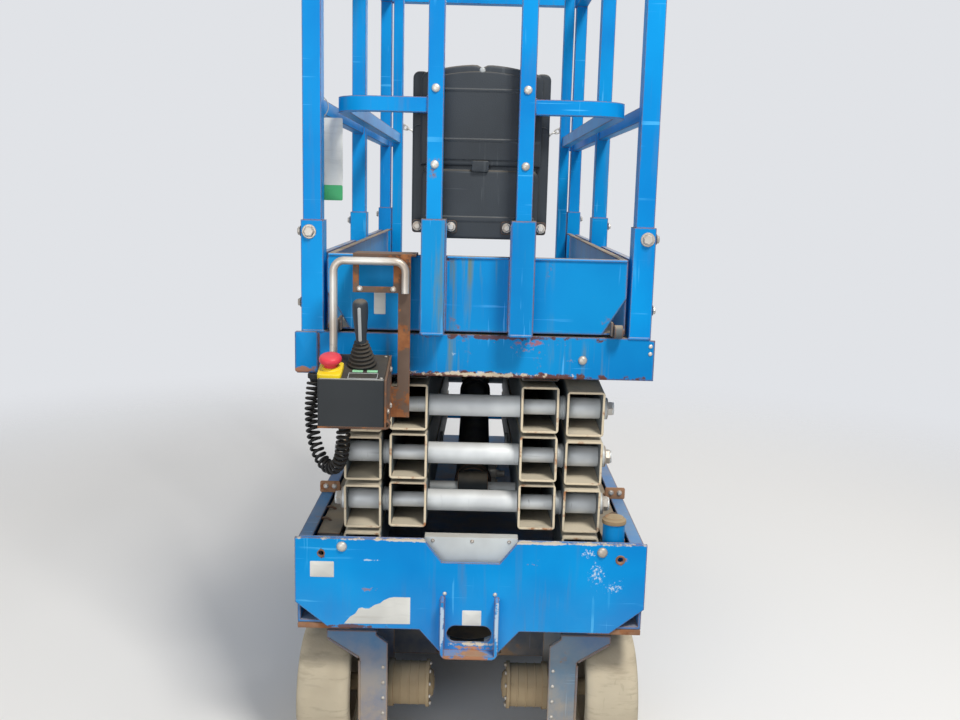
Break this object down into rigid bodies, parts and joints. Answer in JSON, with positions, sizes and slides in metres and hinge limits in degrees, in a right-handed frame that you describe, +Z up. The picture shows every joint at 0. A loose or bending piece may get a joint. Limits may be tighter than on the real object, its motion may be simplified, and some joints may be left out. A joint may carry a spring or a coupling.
{
  "type": "scissor lift",
  "caption": "Narrow electric scissor lift, stowed, with guard rails, sliding deck extension, swing-out trays and hanging controls.",
  "frame": {"origin": "Centre of the bounding box at floor level", "axes": "+Z up, +Y towards the entry ladder, +X to the right as seen from the front"},
  "size_m": [0.778, 1.88, 2.001],
  "materials": {
    "blue_paint": "satin, worn and rusted at the edges",
    "arm_paint": "slate grey, satin",
    "pin_steel": "plated, dull",
    "tyre_rubber": "non-marking grey, dusty",
    "rim_paint": "dull white",
    "motor_cast": "dusty, rusty",
    "guard_sheet": "pale grey",
    "black_plastic": "matt",
    "black_case": "matt black",
    "stop_red": "faded",
    "bracket_steel": "plated, rusty edges",
    "chain_steel": "dark",
    "battery_case": "matt",
    "cord_black": "matt"
  },
  "bodies": {
    "chassis": {"chassis_tub": "blue_paint", "chassis_spine": "blue_paint", "chassis_tracks": "arm_paint", "front_plate": "blue_paint", "inner_guard": "guard_sheet", "rear_axle": "arm_paint", "ladder": "blue_paint", "drive_hose": "cord_black"},
    "battery_bay": {"battery_tray": "blue_paint", "batteries": "battery_case"},
    "hydraulic_bay": {"hydraulic_tray": "blue_paint", "hydraulic_unit": "black_case"},
    "track_rod": {"tie_rod": "arm_paint"},
    "cylinder_barrel": {"lift_barrel": "arm_paint"},
    "cylinder_rod": {"lift_rod": "pin_steel"},
    "platform": {"platform_deck": "blue_paint", "main_rails_left": "blue_paint", "main_rails_right": "blue_paint", "entry_arch": "blue_paint", "entry_chain": "chain_steel"},
    "extension": {"extension_deck": "blue_paint", "extension_rails": "blue_paint", "manual_box": "black_plastic", "control_box": "black_case", "joystick": "black_plastic", "stop_button": "stop_red", "control_hoop": "bracket_steel", "control_bracket": "bracket_steel", "curly_cord": "cord_black"},
    "steering_left": {"steer_yoke_left": "blue_paint", "drive_motor_left": "motor_cast"},
    "pothole_bar_left": {"pothole_guard_left": "arm_paint"},
    "wheel_front_left": {"tyre_front_left": "tyre_rubber", "rim_front_left": "rim_paint"},
    "wheel_rear_left": {"tyre_rear_left": "tyre_rubber", "rim_rear_left": "rim_paint"},
    "steering_right": {"steer_yoke_right": "blue_paint", "drive_motor_right": "motor_cast"},
    "pothole_bar_right": {"pothole_guard_right": "arm_paint"},
    "wheel_front_right": {"tyre_front_right": "tyre_rubber", "rim_front_right": "rim_paint"},
    "wheel_rear_right": {"tyre_rear_right": "tyre_rubber", "rim_rear_right": "rim_paint"},
    "inner_1": {"inner_arm_1": "arm_paint", "arm_pins_1": "pin_steel", "cylinder_base_pin": "pin_steel"},
    "outer_1": {"outer_arm_1": "arm_paint", "low_slide_pin": "pin_steel"},
    "inner_2": {"inner_arm_2": "arm_paint", "arm_pins_2": "pin_steel"},
    "outer_2": {"outer_arm_2": "arm_paint"},
    "inner_3": {"inner_arm_3": "arm_paint", "arm_pins_3": "pin_steel"},
    "outer_3": {"outer_arm_3": "arm_paint"},
    "inner_4": {"inner_arm_4": "arm_paint", "arm_pins_4": "pin_steel"},
    "outer_4": {"outer_arm_4": "arm_paint"}
  },
  "joints": [
    {"name": "lift", "type": "hinge", "parent": "chassis", "child": "inner_1", "pos_m": [0, 0.78097, 0.519], "axis": [-1, 0, 0], "range_deg": [0, 57]},
    {"name": "cross_1", "type": "hinge", "parent": "inner_1", "child": "outer_1", "pos_m": [0, 0.043, 0.57375], "axis": [1, 0, 0], "range_deg": [0, 114]},
    {"name": "knee_1", "type": "hinge", "parent": "outer_1", "child": "inner_2", "pos_m": [0, 0.78097, 0.6285], "axis": [-1, 0, 0], "range_deg": [0, 114]},
    {"name": "cross_2", "type": "hinge", "parent": "inner_2", "child": "outer_2", "pos_m": [0, 0.043, 0.68325], "axis": [1, 0, 0], "range_deg": [0, 114]},
    {"name": "knee_2", "type": "hinge", "parent": "outer_2", "child": "inner_3", "pos_m": [0, 0.78097, 0.738], "axis": [-1, 0, 0], "range_deg": [0, 114]},
    {"name": "cross_3", "type": "hinge", "parent": "inner_3", "child": "outer_3", "pos_m": [0, 0.043, 0.79275], "axis": [1, 0, 0], "range_deg": [0, 114]},
    {"name": "knee_3", "type": "hinge", "parent": "outer_3", "child": "inner_4", "pos_m": [0, 0.78097, 0.8475], "axis": [-1, 0, 0], "range_deg": [0, 114]},
    {"name": "cross_4", "type": "hinge", "parent": "inner_4", "child": "outer_4", "pos_m": [0, 0.043, 0.90225], "axis": [1, 0, 0], "range_deg": [0, 114]},
    {"name": "platform_level", "type": "hinge", "parent": "outer_4", "child": "platform", "pos_m": [0, 0.78097, 0.957], "axis": [-1, 0, 0], "range_deg": [0, 57]},
    {"name": "barrel_swing", "type": "hinge", "parent": "inner_1", "child": "cylinder_barrel", "pos_m": [0, -0.5753, 0.61962], "axis": [1, 0, 0], "range_deg": [0, 128.45]},
    {"name": "rod_stroke", "type": "slide", "parent": "cylinder_barrel", "child": "cylinder_rod", "axis": [0, 0.9984, 0.0565], "range_m": [0, 0.616]},
    {"name": "extension_slide", "type": "slide", "parent": "platform", "child": "extension", "axis": [0, -1, 0], "range_m": [0, 0.91]},
    {"name": "steer_left", "type": "hinge", "parent": "chassis", "child": "steering_left", "pos_m": [-0.226, -0.62497, 0.33], "axis": [0, 0, 1], "range_deg": [-70, 70]},
    {"name": "steer_right", "type": "hinge", "parent": "chassis", "child": "steering_right", "pos_m": [0.226, -0.62497, 0.33], "axis": [0, 0, 1], "range_deg": [-70, 70]},
    {"name": "tie_rod_swing", "type": "hinge", "parent": "steering_left", "child": "track_rod", "pos_m": [-0.226, -0.46997, 0.346], "axis": [0, 0, 1], "range_deg": [-70, 70]},
    {"name": "wheel_spin_front_left", "type": "hinge", "parent": "steering_left", "child": "wheel_front_left", "pos_m": [-0.33, -0.62497, 0.146], "axis": [1, 0, 0], "continuous": true},
    {"name": "wheel_spin_rear_left", "type": "hinge", "parent": "chassis", "child": "wheel_rear_left", "pos_m": [-0.33, 0.69497, 0.146], "axis": [1, 0, 0], "continuous": true},
    {"name": "wheel_spin_front_right", "type": "hinge", "parent": "steering_right", "child": "wheel_front_right", "pos_m": [0.33, -0.62497, 0.146], "axis": [1, 0, 0], "continuous": true},
    {"name": "wheel_spin_rear_right", "type": "hinge", "parent": "chassis", "child": "wheel_rear_right", "pos_m": [0.33, 0.69497, 0.146], "axis": [1, 0, 0], "continuous": true},
    {"name": "battery_swing", "type": "hinge", "parent": "chassis", "child": "battery_bay", "pos_m": [-0.373, 0.52747, 0.235], "axis": [0, 0, -1], "range_deg": [0, 90]},
    {"name": "hydraulic_swing", "type": "hinge", "parent": "chassis", "child": "hydraulic_bay", "pos_m": [0.373, 0.52747, 0.235], "axis": [0, 0, 1], "range_deg": [0, 90]},
    {"name": "pothole_drop_left", "type": "slide", "parent": "chassis", "child": "pothole_bar_left", "axis": [0, 0, -1], "range_m": [0, 0.041]},
    {"name": "pothole_drop_right", "type": "slide", "parent": "chassis", "child": "pothole_bar_right", "axis": [0, 0, -1], "range_m": [0, 0.041]}
  ],
  "couplings": [
    {"joint": "cross_1", "follows": "lift", "ratio": 2},
    {"joint": "knee_1", "follows": "lift", "ratio": 2},
    {"joint": "cross_2", "follows": "lift", "ratio": 2},
    {"joint": "knee_2", "follows": "lift", "ratio": 2},
    {"joint": "cross_3", "follows": "lift", "ratio": 2},
    {"joint": "knee_3", "follows": "lift", "ratio": 2},
    {"joint": "cross_4", "follows": "lift", "ratio": 2},
    {"joint": "platform_level", "follows": "lift", "ratio": 1},
    {"joint": "barrel_swing", "follows": "lift", "ratio": 2.2526},
    {"joint": "rod_stroke", "follows": "lift", "m_per_rad": 0.61873},
    {"joint": "steer_right", "follows": "steer_left", "ratio": 1},
    {"joint": "tie_rod_swing", "follows": "steer_left", "ratio": -1},
    {"joint": "pothole_drop_left", "follows": "lift", "m_per_rad": 0.041012},
    {"joint": "pothole_drop_right", "follows": "lift", "m_per_rad": 0.041012}
  ]
}
